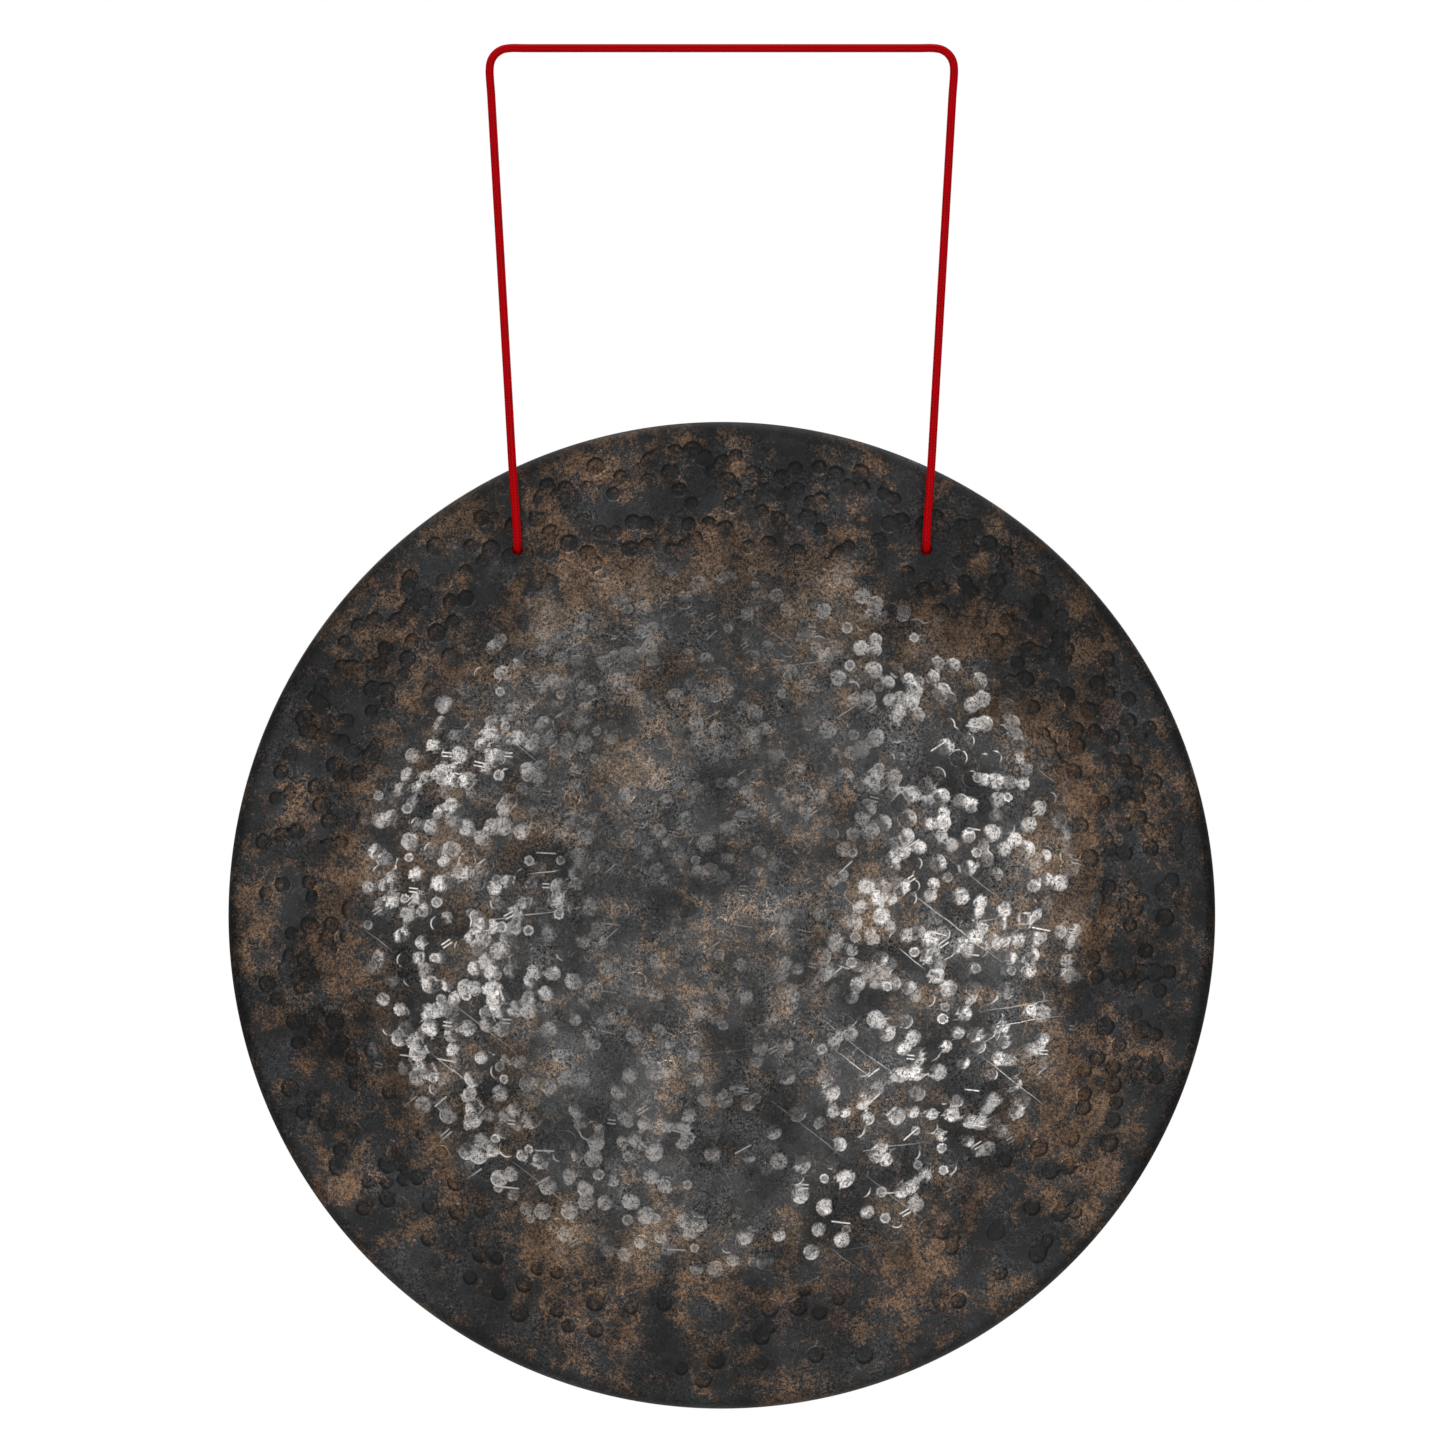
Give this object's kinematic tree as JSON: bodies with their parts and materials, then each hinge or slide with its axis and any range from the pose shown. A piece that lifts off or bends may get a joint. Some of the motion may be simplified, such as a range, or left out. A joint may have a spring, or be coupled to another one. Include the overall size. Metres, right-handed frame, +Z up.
{
  "type": "tam tam gong",
  "caption": "Large hammered bronze tam tam gong with a domed face, a falling outer ring and a turned rim, hung on a braided cord knotted behind its ring.",
  "frame": {"origin": "middle of the suspension cord's top run, where a stand's hooks or bar hold it", "axes": "+Z up, +Y from the face towards the back of the gong, +X to the right seen from the front"},
  "size_m": [0.6, 0.0486, 0.8276],
  "materials": {
    "hammered_bronze": "dark oxidised hammered bronze, slate grey and warm brown, with burnished strike marks",
    "red_cord": "fine braided red cord, satin"
  },
  "bodies": {
    "top_run": {"cord_top_run": "red_cord"},
    "cord_legs": {"cord_left_leg": "red_cord", "cord_right_leg": "red_cord"},
    "gong": {"gong_plate": "hammered_bronze", "cord_left_knot": "red_cord", "cord_right_knot": "red_cord"}
  },
  "joints": [
    {"name": "cord_swing", "type": "hinge", "parent": "top_run", "child": "cord_legs", "pos_m": [0, 0, 0], "axis": [1, 0, 0], "range_deg": [-30, 30]},
    {"name": "gong_tilt", "type": "hinge", "parent": "cord_legs", "child": "gong", "pos_m": [0, 0, -0.3023], "axis": [1, 0, 0], "range_deg": [-25, 8]}
  ]
}
